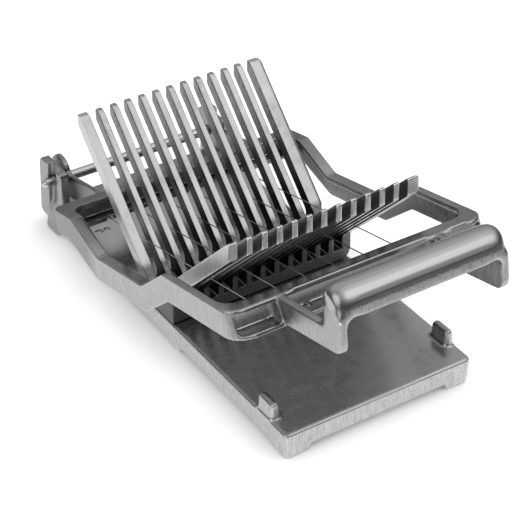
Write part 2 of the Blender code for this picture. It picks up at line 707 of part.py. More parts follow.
# Handle: side sections stacked across, so that the round bar closes with a dome at both ends
handle_radius = HANDLE_DEPTH / 2
handle_centre_a = handle_reach - handle_radius
END_ROUND = 8.2 * MM
DOME_INSET = 6.2 * MM
NOTCH_DROP = 1.0 * MM
NOTCH_ROUND = 3.6 * MM
NOTCH_ROUND_SHARE = 0.3
DOME_FOOT_DROP = 3.4 * MM
INSET_BELOW_SHARE = 0.15

# The handle's two side plates
PLATE_DROP = 11.95 * MM
PLATE_LAP = 1.0 * MM
PLATE_SINK = 0.1 * MM
PLATE_TILT = 0.2 * MM
PLATE_FLAT_HALF = 3.0 * MM
PLATE_TOE_LENGTH = 3.6 * MM
PLATE_TOE_RISE = 6.4 * MM
PLATE_TOE_SHARES = (0.28, 0.375)


def handle_section(x, inset):
    small = inset * INSET_BELOW_SHARE
    centre_b = HANDLE_CENTRE_RISE
    rear = handle_centre_a - handle_radius + inset
    notch_b = ARM_TOP - NOTCH_DROP - small
    notch_step = NOTCH_ROUND * NOTCH_ROUND_SHARE
    plate_back = FRONT_BAR_START + PLATE_LAP
    points = [(handle_reach - small, centre_b - DOME_FOOT_DROP), (handle_reach - inset, centre_b)]
    for angle in range(15, 166, 15):
        turn = math.radians(angle)
        reach = handle_centre_a + (handle_radius - inset) * math.cos(turn)
        points.append((reach, centre_b + (HANDLE_ROUND_RISE - inset) * math.sin(turn)))
    points += [
        (rear, centre_b),
        (rear, notch_b + NOTCH_ROUND),
        (rear - notch_step, notch_b + notch_step),
        (rear - NOTCH_ROUND, notch_b),
        (front_bar_front + PLATE_LAP, ARM_TOP - PLATE_SINK - small),
        (plate_back, ARM_TOP - NOTCH_DROP),
        (plate_back, arm_bottom + small + PLATE_TILT),
        (handle_centre_a - PLATE_FLAT_HALF, -PLATE_DROP + small),
        (handle_centre_a + PLATE_FLAT_HALF, -PLATE_DROP + PLATE_TILT + small),
        (handle_reach - PLATE_TOE_LENGTH - small, -PLATE_DROP + PLATE_TOE_RISE * PLATE_TOE_SHARES[1]),
        (handle_reach - PLATE_TOE_LENGTH * PLATE_TOE_SHARES[0] - small, -PLATE_DROP + PLATE_TOE_RISE),
    ]
    return [(x, -a, b) for a, b in points]


end_angles = (0, 18, 36, 54, 72, 90)
end_levels = []
for angle in end_angles:
    turn = math.radians(angle)
    x = handle_half - END_ROUND + END_ROUND * math.sin(turn)
    end_levels.append((x, DOME_INSET * (1 - math.cos(turn))))
handle_levels = [(-x, inset) for x, inset in reversed(end_levels)] + end_levels
handle = loft("handle_outer", [handle_section(x, inset) for x, inset in handle_levels])
HANDLE_WALL = 3.5 * MM
BEHIND_BAR_GAP = 1.2 * MM
MOUTH_ROUND = 5.0 * MM
bar_low = HANDLE_CENTRE_RISE - HANDLE_STRIP_HEIGHT
inner_radius = handle_radius - HANDLE_WALL
inner_rise = HANDLE_ROUND_RISE - HANDLE_WALL
inner_front = handle_reach - HANDLE_WALL
behind_bar = handle_reach - HANDLE_DEPTH
hollow = [(FRONT_BAR_START - OUTSIDE, -OUTSIDE), (inner_front, -OUTSIDE), (inner_front, HANDLE_CENTRE_RISE)]
for angle in range(15, 166, 15):
    turn = math.radians(angle)
    reach = handle_centre_a + inner_radius * math.cos(turn)
    hollow.append((reach, HANDLE_CENTRE_RISE + inner_rise * math.sin(turn)))
hollow += [
    (behind_bar + HANDLE_WALL, HANDLE_CENTRE_RISE),
    (behind_bar + HANDLE_WALL, bar_low),
    (behind_bar - BEHIND_BAR_GAP, bar_low),
    (behind_bar - BEHIND_BAR_GAP, OUTSIDE),
    (FRONT_BAR_START - OUTSIDE, OUTSIDE),
]
cut(handle, prisms("handle_hollow", side_view(hollow), [(-handle_inner, handle_inner)], "X"))
mouth = rounded_corners(
    [
        (-handle_inner, -OUTSIDE, 0),
        (handle_inner, -OUTSIDE, 0),
        (handle_inner, bar_low, MOUTH_ROUND),
        (-handle_inner, bar_low, MOUTH_ROUND),
    ],
    5,
)
mouth_span = (-handle_reach - OUTSIDE, -inner_front + PIECE_GAP)
cut(handle, prisms("handle_mouth", mouth, [mouth_span], "Y"))
join(arm, handle)

# Ears that carry the arm on the rod, with a raised top edge
EAR_WIDTH = 3.4 * MM
LOOP_RADIUS = 10.2 * MM
LOOP_CENTRE_RISE = 4.55 * MM
LOOP_CENTRE_BACK = 2.8 * MM
ear_outer = post_inner - EAR_SIDE_GAP
ear_inner = ear_outer - EAR_WIDTH
EAR_ROOT = 8.0 * MM
EAR_DEPTH = 14.6 * MM
EAR_RIM_RISE = 0.6 * MM
EAR_LAP = 1.0 * MM
EAR_SINK = 0.2 * MM
EAR_HEEL_START = 2.0 * MM
EAR_HEEL_DEPTH = 13.0 * MM
EAR_FLOOR_START = 8.0 * MM
EAR_FLOOR_END = 24.0 * MM
EAR_TOE_END = 33.0 * MM
EAR_TOE_DEPTH = 9.2 * MM
ear_profile = [(CROSSBAR_START + EAR_LAP, ARM_TOP - EAR_ROOT), (CROSSBAR_START + EAR_LAP, ARM_TOP - EAR_SINK)]
ear_profile += [(CROSSBAR_START - EAR_LAP, ARM_TOP + EAR_RIM_RISE), (LOOP_RADIUS, ARM_TOP + EAR_RIM_RISE)]
ear_profile += arc(-LOOP_CENTRE_BACK, LOOP_CENTRE_RISE, LOOP_RADIUS, 8, 240, 20)
ear_profile += [(EAR_HEEL_START, ARM_TOP - EAR_HEEL_DEPTH), (EAR_FLOOR_START, ARM_TOP - EAR_DEPTH)]
ear_profile += [(EAR_FLOOR_END, ARM_TOP - EAR_DEPTH), (EAR_TOE_END, ARM_TOP - EAR_TOE_DEPTH)]
ear_spans = [(-ear_outer, -ear_inner), (ear_inner, ear_outer)]
join(arm, prisms("arm_ears", side_view(ear_profile), ear_spans, "X"))
cut(arm, rods("ear_bore", [(0, 0)], rod_radius + BORE_GAP, -ear_outer - EAR_WIDTH, ear_outer + EAR_WIDTH, "X", BORE_SIDES))

# Wires with their tension screws and nuts behind the crossbar, and their ball ends in the front bar
STUD_RADIUS = 1.3 * MM
STUD_BACK = 8.0 * MM
STUD_FRONT = 6.0 * MM
NUT_RADIUS = 2.9 * MM
NUT_THICKNESS = 2.4 * MM
WIRE_BOSS_RADIUS = 3.0 * MM
BOSS_RISE = 0.8 * MM
BOSS_LAP = 0.6 * MM
BALL_RADIUS = 1.4 * MM
ball_a = web_front + BALL_RADIUS + PIECE_GAP
stud_low = CROSSBAR_START - STUD_BACK
stud_high = CROSSBAR_START + STUD_FRONT
wire_line = [(x, -WIRE_DROP) for x in wire_places]
boss_back = CROSSBAR_START - BOSS_RISE
boss_front = CROSSBAR_START + ARM_WALL + BOSS_LAP
join(arm, rods("wire_bosses", wire_line, WIRE_BOSS_RADIUS, -boss_front, -boss_back, "Y", 14))
bore_low = CROSSBAR_START - ARM_WALL
cut(arm, rods("stud_bores", wire_line, STUD_RADIUS + PIECE_GAP, -crossbar_front - ARM_WALL, -bore_low, "Y", 12))
wire_bore_radius = wire_radius + PIECE_GAP
wire_bore_low = FRONT_BAR_START - ARM_WALL
cut(arm, rods("wire_bores", wire_line, wire_bore_radius, -ball_a, -wire_bore_low, "Y", 10))
pocket_half = BALL_RADIUS + PIECE_GAP
pocket_low, pocket_high = -WIRE_DROP - OUTSIDE, -WIRE_DROP + pocket_half
pocket_outline = rounded_box(ball_a - pocket_half, ball_a + pocket_half, pocket_low, pocket_high, 0)
pocket_spans = [(x - pocket_half, x + pocket_half) for x in wire_places]
cut(arm, prisms("ball_pockets", side_view(pocket_outline), pocket_spans, "X"))

arm_pieces = [arm]
for number, x in enumerate(wire_places, 1):
    line = [(x, -WIRE_DROP)]
    stud = rods(f"tension_screw_{number}", line, STUD_RADIUS, -stud_high, -stud_low, "Y", 12, is_part=True)
    nut_front = boss_back - PIECE_GAP
    nut_outline = circle(x, -WIRE_DROP, NUT_RADIUS, 6, math.pi / 6)
    nut = prisms(f"tension_nut_{number}", nut_outline, [(-nut_front, -nut_front + NUT_THICKNESS)], "Y", is_part=True)
    cut(nut, rods(f"nut_bore_{number}", line, STUD_RADIUS + PIECE_GAP, -crossbar_front, 0, "Y", 12))
    wire_start = stud_high + PIECE_GAP
    wire_end = ball_a - BALL_RADIUS - PIECE_GAP / 2
    wire = rods(f"wire_{number}", line, wire_radius, -wire_end, -wire_start, "Y", 8, is_part=True)
    ball_shape = bmesh.new()
    bmesh.ops.create_uvsphere(ball_shape, u_segments=12, v_segments=8, radius=BALL_RADIUS)
    bmesh.ops.translate(ball_shape, vec=(x, -ball_a, -WIRE_DROP), verts=ball_shape.verts[:])
    ball = finish_mesh(f"wire_anchor_{number}", ball_shape, True)
    arm_pieces += [stud, nut, wire, ball]

# The arm's pieces and their helpers hang from the hinge
arm_helpers = [modifier.object for piece in arm_pieces for modifier in piece.modifiers]
arm_helpers += [modifier.object for helper in arm_helpers for modifier in helper.modifiers]
for obj in dict.fromkeys(arm_pieces + arm_helpers):
    obj.parent = hinge

# Looks
cast = material("cast_aluminium", (0.46, 0.47, 0.48), 0.9, 0.42)
ribs = material("cradle_aluminium", (0.58, 0.59, 0.60), 0.9, 0.36)
steel = material("steel_rod", (0.42, 0.43, 0.44), 1.0, 0.25)
wire_steel = material("wire_steel", (0.55, 0.55, 0.56), 1.0, 0.3)
screw_steel = material("zinc_steel", (0.50, 0.51, 0.52), 1.0, 0.35)
looks = {"base": cast, "cutting": cast, "cradle": ribs, "pivot": steel, "wire": wire_steel, "tension": screw_steel}
for obj in parts.objects:
    if obj.type == "MESH":
        kind = obj.name.split("_")[0]
        obj.data.materials.append(screw_steel if "screw" in obj.name else looks[kind])
for obj in [pivot_rod, *screws]:
    for polygon in obj.data.polygons:
        polygon.use_smooth = True

# The object's own origin: the middle of its box, on the ground
bpy.context.view_layer.update()
graph = bpy.context.evaluated_depsgraph_get()
corners = []
for obj in parts.objects:
    if obj.type == "MESH":
        evaluated = obj.evaluated_get(graph)
        corners += [evaluated.matrix_world @ vertex.co for vertex in evaluated.data.vertices]
middle_x = (min(c.x for c in corners) + max(c.x for c in corners)) / 2
middle_y = (min(c.y for c in corners) + max(c.y for c in corners)) / 2
ground = min(c.z for c in corners)
for obj in bpy.data.objects:
    if obj.parent is None:
        obj.location.x -= middle_x
        obj.location.y -= middle_y
        obj.location.z -= ground
bpy.context.view_layer.update()
print(f"middle {middle_x:.6f} {middle_y:.6f} {ground:.6f}")
print(f"hinge at {tuple(round(v, 6) for v in hinge.location)}, lowest pitch {math.degrees(stop_pitch):.3f}")
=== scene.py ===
"""Looks for the wire cheese cutter: cast aluminium base, cradle and cutting arm, with steel rod and wires.

The castings are remade from the frame's solids with soft edges and small ridges, in cast, sanded and
polished metal.
"""

import json
import math

import bmesh
import bpy
from mathutils import Matrix, Vector


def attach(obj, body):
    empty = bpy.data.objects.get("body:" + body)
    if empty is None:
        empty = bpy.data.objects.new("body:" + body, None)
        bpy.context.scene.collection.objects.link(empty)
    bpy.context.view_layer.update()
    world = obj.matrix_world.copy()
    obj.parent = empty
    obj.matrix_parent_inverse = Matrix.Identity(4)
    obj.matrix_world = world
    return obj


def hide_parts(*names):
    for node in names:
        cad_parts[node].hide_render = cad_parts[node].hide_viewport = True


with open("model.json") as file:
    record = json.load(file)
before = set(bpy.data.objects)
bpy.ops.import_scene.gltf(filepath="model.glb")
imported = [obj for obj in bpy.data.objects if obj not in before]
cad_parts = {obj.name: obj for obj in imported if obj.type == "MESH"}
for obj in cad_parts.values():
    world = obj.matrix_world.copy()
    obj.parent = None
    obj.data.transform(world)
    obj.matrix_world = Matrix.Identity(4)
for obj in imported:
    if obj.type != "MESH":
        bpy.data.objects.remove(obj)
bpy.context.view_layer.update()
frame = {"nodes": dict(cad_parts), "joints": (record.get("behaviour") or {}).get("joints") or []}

nodes = frame["nodes"]
hinge = Vector(frame["joints"][0]["pos_m"])

MM = 0.001
UP = Vector((0, 0, 1))
WHITE = (1, 1, 1, 1)

# The arm's pitch at rest, and places in its own frame
REST_PITCH = math.radians(12.52)
ARM_TOP = 3.35 * MM
FRONT_BAR_FRONT = 246.6 * MM
HANDLE_FROM = 286 * MM

# The castings' skins: their grain, and how many rounds of smoothing they get
VOXEL = 0.45 * MM
SOFTENING = 12
CRADLE_SOFTENING = 7
LAST_SOFTENING = 2
SMOOTH_FACTOR = 0.5
FACES_KEPT = 0.35

# The handle's round ends, which are softened more, and the widths over which that fades in
KNOB_ROUNDS = 110
KNOB_FROM = 38 * MM
KNOB_LOW = -9 * MM
KNOB_SIDE_FADE = 8 * MM
KNOB_REACH_FADE = 4 * MM
KNOB_LOW_FADE = 6 * MM

# Ridges along the front bar's front edge, from and to these millimetres across the arm
BEAD_RUNS = ((-45, 45), (57, 74))
BEAD_STEP = 3
BEAD_SIDES = 12
BEAD_RADIUS = 0.9 * MM
BEAD_END_SHARE = 0.35
BEAD_INSET = 0.7 * MM
BEAD_DROP = 0.1 * MM

# The arm's own frame: x across, y is minus the reach from the hinge, z is up from the arm
arm_frame = Matrix.Translation(hinge) @ Matrix.Rotation(-REST_PITCH, 4, "X")
arm_frame_inverse = arm_frame.inverted()


def arm_point(x, reach, up):
    return arm_frame @ Vector((x, -reach, up))


def link(name, data):
    piece = bpy.data.objects.new(name, data)
    bpy.context.scene.collection.objects.link(piece)
    return piece


def mesh_of(name, shape):
    mesh = bpy.data.meshes.new(name)
    bmesh.ops.recalc_face_normals(shape, faces=shape.faces[:])
    shape.to_mesh(mesh)
    shape.free()
    return mesh


def smooth(mesh):
    mesh.polygons.foreach_set("use_smooth", [True] * len(mesh.polygons))


def paint_piece(piece, metal):
    piece.data.materials.clear()
    piece.data.materials.append(metal)


def add_tube(shape, points, radii):
    """A closed tube along points that run level, with one radius a point."""
    rings = []
    angles = [2 * math.pi * k / BEAD_SIDES for k in range(BEAD_SIDES)]
    for i, (point, radius) in enumerate(zip(points, radii)):
        before = points[max(i - 1, 0)]
        after = points[min(i + 1, len(points) - 1)]
        along = (after - before).normalized()
        side = along.cross(UP).normalized()
        up = side.cross(along)
        spokes = [math.cos(t) * side + math.sin(t) * up for t in angles]
        rings.append([shape.verts.new(point + radius * spoke) for spoke in spokes])
    for low, high in zip(rings, rings[1:]):
        for k in range(BEAD_SIDES):
            j = (k + 1) % BEAD_SIDES
            shape.faces.new((low[k], low[j], high[j], high[k]))
    shape.faces.new(rings[0])
    shape.faces.new(list(reversed(rings[-1])))


def bead(points, radius):
    """The mesh of a ridge along points that fades out at both ends."""
    shape = bmesh.new()
    ends = (0, len(points) - 1)
    radii = [radius * (BEAD_END_SHARE if i in ends else 1) for i in range(len(points))]
    add_tube(shape, points, radii)
    return mesh_of("bead", shape)


def modify(piece, kind, **settings):
    modifier = piece.modifiers.new(kind.lower(), kind)
    for key, value in settings.items():
        setattr(modifier, key, value)


def apply_modifiers(piece):
    graph = bpy.context.evaluated_depsgraph_get()
    mesh = bpy.data.meshes.new_from_object(piece.evaluated_get(graph))
    piece.modifiers.clear()
    old = piece.data
    piece.data = mesh
    bpy.data.meshes.remove(old)


def add_group(piece, name, share_of):
    """A vertex group with the share that share_of gives for each vertex's place."""
    group = piece.vertex_groups.new(name=name)
    for vertex in piece.data.vertices:
        share = share_of(vertex.co)
        if share > 0:
            group.add([vertex.index], share, "REPLACE")


def casting(name, node, body, rounds, beads=(), softer=None, softer_rounds=0):
    """The node's solid and its beads as one skin, with every edge softened as on a tumbled casting.

    Softer gives a share between 0 and 1 for each place, where the skin is softened by more rounds.
    """
    shape = bmesh.new()
    shape.from_mesh(nodes[node].data)
    for mesh in beads:
        shape.from_mesh(mesh)
    piece = link(name, mesh_of(name, shape))
    modify(piece, "REMESH", mode="VOXEL", voxel_size=VOXEL, adaptivity=0.0)
    apply_modifiers(piece)
    if softer is not None:
        add_group(piece, "softer", softer)
        modify(piece, "SMOOTH", factor=SMOOTH_FACTOR, iterations=softer_rounds, vertex_group="softer")
    modify(piece, "SMOOTH", factor=SMOOTH_FACTOR, iterations=rounds)
    modify(piece, "DECIMATE", ratio=FACES_KEPT)
    apply_modifiers(piece)
    modify(piece, "SMOOTH", factor=SMOOTH_FACTOR, iterations=LAST_SOFTENING)
    apply_modifiers(piece)
    piece.vertex_groups.clear()
    smooth(piece.data)
    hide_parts(node)
    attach(piece, body)
    return piece


def smooth_step(value, low, high):
    share = min(1.0, max(0.0, (value - low) / (high - low)))
    return share * share * (3 - 2 * share)


def knob_share(place):
    """One over the handle's round ends, and nothing elsewhere."""
    x, y, z = arm_frame_inverse @ place
    outward = smooth_step(abs(x), KNOB_FROM, KNOB_FROM + KNOB_SIDE_FADE)
    forward = smooth_step(-y, HANDLE_FROM - KNOB_REACH_FADE, HANDLE_FROM)
    upward = smooth_step(z, KNOB_LOW, KNOB_LOW + KNOB_LOW_FADE)
    return outward * forward * upward


front_beads = []
for low, high in BEAD_RUNS:
    across = range(low, high + 1, BEAD_STEP)
    line = [arm_point(x * MM, FRONT_BAR_FRONT - BEAD_INSET, ARM_TOP - BEAD_DROP) for x in across]
    front_beads.append(bead(line, BEAD_RADIUS))

arm = casting(
    "arm_casting", "cutting_arm", "arm", SOFTENING, front_beads, knob_share, KNOB_ROUNDS
)
cradle = casting("cradle_casting", "cradle", "base", CRADLE_SOFTENING)
base = casting("base_plate", "base_casting", "base", SOFTENING)


# Materials
class Nodes:
    """A small helper that builds a node tree. Numbers and sockets are put into sockets alike."""

    # The Mix node's sockets: share, a and b among its inputs, and the result among its outputs
    MIX_SOCKETS = {"FLOAT": (0, 2, 3, 0), "RGBA": (0, 6, 7, 2)}

    def __init__(self, owner):
        owner.use_nodes = True
        self.tree = owner.node_tree

    def add(self, kind, **settings):
        node = self.tree.nodes.new(kind)
        for key, value in settings.items():
            setattr(node, key, value)
        return node

    def put(self, value, socket):
        if isinstance(value, bpy.types.NodeSocket):
            self.tree.links.new(value, socket)
        else:
            socket.default_value = value

    def math(self, operation, a, b=0.0):
        node = self.add("ShaderNodeMath", operation=operation)
        self.put(a, node.inputs[0])
        self.put(b, node.inputs[1])
        return node.outputs[0]

    def ramp(self, value, low, high, to_low=0.0, to_high=1.0):
        """To_low up to low, to_high from high on, and a soft step between."""
        node = self.add("ShaderNodeMapRange", clamp=True, interpolation_type="SMOOTHSTEP")
        for socket, number in zip(node.inputs, (value, low, high, to_low, to_high)):
            self.put(number, socket)
        return node.outputs[0]

    def fall(self, value, low, high):
        return self.ramp(value, low, high, 1.0, 0.0)

    def mixed(self, kind, share, a, b):
        node = self.add("ShaderNodeMix", data_type=kind)
        *inputs, result = self.MIX_SOCKETS[kind]
        for socket, value in zip(inputs, (share, a, b)):
            self.put(value, node.inputs[socket])
        return node.outputs[result]

    def mix(self, share, a, b):
        """A colour between a and b."""
        return self.mixed("RGBA", share, a, b)

    def mix_value(self, share, a, b):
        """A number between a and b."""
        return self.mixed("FLOAT", share, a, b)


class Paint(Nodes):
    """The node tree of one procedural material."""

    # Metal's grey is a little blue
    TINT = (1.0, 1.01, 1.025)

    def __init__(self, name, metallic):
        self.material = bpy.data.materials.new(name)
        super().__init__(self.material)
        self.shader = self.tree.nodes["Principled BSDF"]
        self.shader.inputs["Metallic"].default_value = metallic
        coordinates = self.add("ShaderNodeTexCoord").outputs
        self.place = coordinates["Object"]
        self.normal = coordinates["Normal"]

    def noise(self, size, detail=2.0, stretch=(1, 1, 1), place=None, roughness=0.5):
        """Noise whose grains are about size metres, drawn out by the stretch along each axis."""
        mapping = self.add("ShaderNodeMapping")
        self.put(place or self.place, mapping.inputs[0])
        mapping.inputs["Scale"].default_value = [1 / s for s in stretch]
        node = self.add("ShaderNodeTexNoise")
        self.put(mapping.outputs[0], node.inputs["Vector"])
        node.inputs["Scale"].default_value = 1 / size
        node.inputs["Detail"].default_value = detail
        node.inputs["Roughness"].default_value = roughness
        return node.outputs[0]

    def layer(self, place, low, high, **settings):
        """Noise that is spread between 0 and 1, over its levels from low to high."""
        return self.ramp(self.noise(place=place, **settings), low, high)

    def bump(self, height, distance, strength):
        node = self.add("ShaderNodeBump")
        self.put(height, node.inputs["Height"])
        node.inputs["Distance"].default_value = distance
        self.put(strength, node.inputs["Strength"])
        return node.outputs[0]

    def turned(self, vector, kind):
        """The vector in the arm's own frame: kind is POINT for a place and NORMAL for a normal."""
        mapping = self.add("ShaderNodeMapping", vector_type=kind)
        self.put(vector, mapping.inputs["Vector"])
        mapping.inputs["Rotation"].default_value = (REST_PITCH, 0, 0)
        if kind == "POINT":
            mapping.inputs["Location"].default_value = -(Matrix.Rotation(REST_PITCH, 3, "X") @ hinge)
        return mapping.outputs[0]

    def parts_of(self, vector):
        split = self.add("ShaderNodeSeparateXYZ")
        self.put(vector, split.inputs[0])
        return split.outputs

    def grey(self, level):
        return tuple(level * tint for tint in self.TINT) + (1,)

    def greys(self, share, pair):
        """A grey between the two levels of the pair."""
        low, high = pair
        return self.mix(share, self.grey(low), self.grey(high))

    def finish(self, colour, roughness, normal=None):
        self.put(colour, self.shader.inputs["Base Color"])
        self.put(roughness, self.shader.inputs["Roughness"])
        if normal is not None:
            self.put(normal, self.shader.inputs["Normal"])
        return self.material


# Noise of the cast metal: wide clouds, patches, speckles and an upright sanding grain
CLOUD = {"size": 34 * MM, "detail": 2.0, "low": 0.34, "high": 0.66}
PATCH = {"size": 6 * MM, "detail": 3.0, "low": 0.34, "high": 0.68}
SPECKLE = {"size": 1.1 * MM, "detail": 3.0, "low": 0.36, "high": 0.66, "roughness": 0.7}
GRAIN = {"size": 0.7 * MM, "detail": 2.0, "low": 0.36, "high": 0.66, "stretch": (1, 1, 14)}
TOP_PATCH = 0.40
TOP_SPECKLE = 0.14
SIDE_SPECKLE = 0.7
SIDE_GRAIN = 0.45
ROUGH_LEVELS = (0.2, 0.8)

# How far a face's normal points up or down, where the face stops being upright and where it gets flat
UPRIGHT_NORMAL = (0.12, 0.34)
FLAT_NORMAL = (0.95, 0.99)

# Edges with a painted highlight, bright and smoother, by the levels of pointiness where they start and end
EDGE_POINTINESS = (0.518, 0.558)
RIB_POINTINESS = (0.515, 0.55)
EDGE_HIGHLIGHT_SHARE = 0.75
EDGE_PAINTED_HIGHLIGHT = 0.92
EDGE_ROUGHNESS = 0.22

# Bumps of the cast skin, and how much of them the tops, the sides and the polish show
FINE_PEBBLES = 1.0 * MM
COARSE_PEBBLES = 3.5 * MM
PEBBLE_SHARE = 0.5
GRAIN_SHARE = 0.5
GRAIN_MIDDLE = 0.5
BUMP_HEIGHT = 0.14 * MM
TOP_BUMP = 0.16
SIDE_BUMP = 1.0
POLISH_BUMP = 0.05

# Metal darker at the back, with y in the part's frame for the base and in the arm's for the arm
BASE_DARKER_FROM = 120 * MM
ARM_DARKER_FROM = -90 * MM
DARKER_SPREAD = 8 * MM
DARKER_SHARE = 0.5
DARKER_GREY = 0.12

# Painted shade on the cradle: its foot and underside painted dark, and its slot sides darker, partly as an
# as-cast tone and partly as painted shade between the ribs, with black painted shade low in the slots that
# fades out between two heights above the foot
FOOT_TOP = 36 * MM
FOOT_FADE = 4 * MM
UNDERSIDE_NORMAL = (-0.6, -0.2)
SLOTS_END = 57 * MM
SLOTS_FADE = 1 * MM
SIDEWAYS_NORMAL = (0.6, 0.9)
DEEP_FROM = 8 * MM
DEEP_TO = 24 * MM
RECESS_PAINTED_SHADE = (0.08, 0.15)
SLOT_TONE_AND_PAINTED_SHADE = (0.17, 0.27)
DEEP_SLOT_PAINTED_SHADE = 0.02

# The handle's polish, from this height in the arm's frame, with streaks along the handle
POLISH_FROM = 13.6 * MM
POLISH_FADE = 1.0 * MM
POLISH_BEFORE = 1.5 * MM
POLISH_BEHIND = 0.5 * MM
POLISH_RAGGED = 1.4 * MM
STREAK_SIZE = 1.2 * MM
STREAK_STRETCH = (26, 1, 1)
STREAK_LEVELS = (0.3, 0.7)
POLISH_SHADE = (0.33, 0.41)
POLISH_ROUGHNESS = (0.15, 0.24)


def add_recess_shade(paint, colour, spots, facing, speckle):
    """The colour with painted shade on the cradle's foot, underside and slots, and a darker as-cast slot
    side.
    """
    foot = paint.fall(spots["Z"], FOOT_TOP, FOOT_TOP + FOOT_FADE)
    underside = paint.fall(facing["Z"], *UNDERSIDE_NORMAL)
    inside = paint.fall(paint.math("ABSOLUTE", spots["X"]), SLOTS_END - SLOTS_FADE, SLOTS_END)
    sideways = paint.ramp(paint.math("ABSOLUTE", facing["X"]), *SIDEWAYS_NORMAL)
    slot_side = paint.math("MULTIPLY", inside, sideways)
    deep = paint.fall(spots["Z"], FOOT_TOP + DEEP_FROM, FOOT_TOP + DEEP_TO)
    colour = paint.mix(slot_side, colour, paint.greys(speckle, SLOT_TONE_AND_PAINTED_SHADE))
    colour = paint.mix(paint.math("MAXIMUM", foot, underside), colour, paint.greys(speckle, RECESS_PAINTED_SHADE))
    return paint.mix(paint.math("MULTIPLY", deep, slot_side), colour, paint.grey(DEEP_SLOT_PAINTED_SHADE))


def cast_metal(
    name,
    top_shade,
    side_shade,
    top_roughness,
    side_roughness,
    edges=EDGE_POINTINESS,
    in_arm=False,
    darker_from=None,
    paints_recess_shade=False,
    has_polish=False,
):
    """Cast aluminium: tumbled where it lies flat, and sanded with an upright grain on its sides.

    The shades and the roughnesses are pairs, low and high. Edges are the levels of pointiness where the
    edges get a painted highlight, a bright and smoother grey. In_arm works in the arm's own frame. The
    last three give the y behind which the metal is darker, whether the cradle's foot, underside and slots
    get painted shade, with a darker as-cast tone on the slot sides, and whether the handle is polished.
    """
    paint = Paint(name, metallic=1.0)
    place, normal = paint.place, paint.normal
    if in_arm:
        place, normal = paint.turned(place, "POINT"), paint.turned(normal, "NORMAL")
    spots, facing = paint.parts_of(place), paint.parts_of(normal)
    flatness = paint.math("ABSOLUTE", facing["Z"])
    upright = paint.fall(flatness, *UPRIGHT_NORMAL)
    edge = paint.ramp(paint.add("ShaderNodeNewGeometry").outputs["Pointiness"], *edges)
    edge = paint.math("MULTIPLY", edge, paint.fall(flatness, *FLAT_NORMAL))

    cloud = paint.layer(place, **CLOUD)
    patch = paint.layer(place, **PATCH)
    speckle = paint.layer(place, **SPECKLE)
    grain = paint.layer(place, **GRAIN)
    top_level = paint.mix_value(TOP_SPECKLE, paint.mix_value(TOP_PATCH, cloud, patch), speckle)
    side_level = paint.mix_value(SIDE_GRAIN, paint.mix_value(SIDE_SPECKLE, patch, speckle), grain)

    colour = paint.mix(upright, paint.greys(top_level, top_shade), paint.greys(side_level, side_shade))
    # Painted highlight: the edges turn a bright grey
    colour = paint.mix(paint.math("MULTIPLY", edge, EDGE_HIGHLIGHT_SHARE), colour, paint.grey(EDGE_PAINTED_HIGHLIGHT))
    top_rough = paint.ramp(top_level, *ROUGH_LEVELS, *top_roughness)
    side_rough = paint.ramp(side_level, *ROUGH_LEVELS, *side_roughness)
    roughness = paint.mix_value(upright, top_rough, side_rough)
    roughness = paint.mix_value(edge, roughness, EDGE_ROUGHNESS)

    fine = paint.noise(FINE_PEBBLES, place=place)
    coarse = paint.noise(COARSE_PEBBLES, place=place)
    pebbles = paint.mix_value(PEBBLE_SHARE, fine, coarse)
    skin = paint.mix_value(upright, pebbles, paint.mix_value(GRAIN_SHARE, pebbles, grain))
    strength = paint.mix_value(upright, TOP_BUMP, SIDE_BUMP)

    # Darker towards the back: the colour turns part way to a dark grey behind this y
    if darker_from is not None:
        start, end = darker_from - DARKER_SPREAD, darker_from + DARKER_SPREAD
        back_darkening = paint.ramp(spots["Y"], start, end, 0.0, DARKER_SHARE)
        colour = paint.mix(back_darkening, colour, paint.grey(DARKER_GREY))
    # Painted shade on the cradle's foot, underside and slots, and a darker as-cast tone on the slot sides
    if paints_recess_shade:
        colour = add_recess_shade(paint, colour, spots, facing, speckle)
    if has_polish:
        on_handle = paint.fall(spots["Y"], -HANDLE_FROM - POLISH_BEFORE, -HANDLE_FROM + POLISH_BEHIND)
        ragged = paint.math("MULTIPLY", paint.math("SUBTRACT", grain, GRAIN_MIDDLE), POLISH_RAGGED)
        height = paint.math("ADD", spots["Z"], ragged)
        shine = paint.ramp(height, POLISH_FROM - POLISH_FADE, POLISH_FROM + POLISH_FADE)
        shine = paint.math("MULTIPLY", on_handle, shine)
        streak = paint.noise(STREAK_SIZE, stretch=STREAK_STRETCH, place=place)
        colour = paint.mix(shine, colour, paint.greys(streak, POLISH_SHADE))
        polish_rough = paint.ramp(streak, *STREAK_LEVELS, *POLISH_ROUGHNESS)
        roughness = paint.mix_value(shine, roughness, polish_rough)
        strength = paint.mix_value(shine, strength, POLISH_BUMP)
    return paint.finish(colour, roughness, paint.bump(skin, BUMP_HEIGHT, strength))


base_metal = cast_metal(
    "cast_base",
    top_shade=(0.34, 0.44),
    side_shade=(0.32, 0.66),
    top_roughness=(0.24, 0.32),
    side_roughness=(0.34, 0.52),
    darker_from=BASE_DARKER_FROM,
)
cradle_metal = cast_metal(
    "cast_cradle",
    top_shade=(0.26, 0.46),
    side_shade=(0.46, 0.66),
    top_roughness=(0.20, 0.34),
    side_roughness=(0.34, 0.48),
    edges=RIB_POINTINESS,
    paints_recess_shade=True,
)
arm_metal = cast_metal(
    "cast_arm",
    top_shade=(0.25, 0.38),
    side_shade=(0.28, 0.54),
    top_roughness=(0.16, 0.26),
    side_roughness=(0.34, 0.50),
    in_arm=True,
    darker_from=ARM_DARKER_FROM,
    has_polish=True,
)
for piece, metal in ((base, base_metal), (cradle, cradle_metal), (arm, arm_metal)):
    paint_piece(piece, metal)

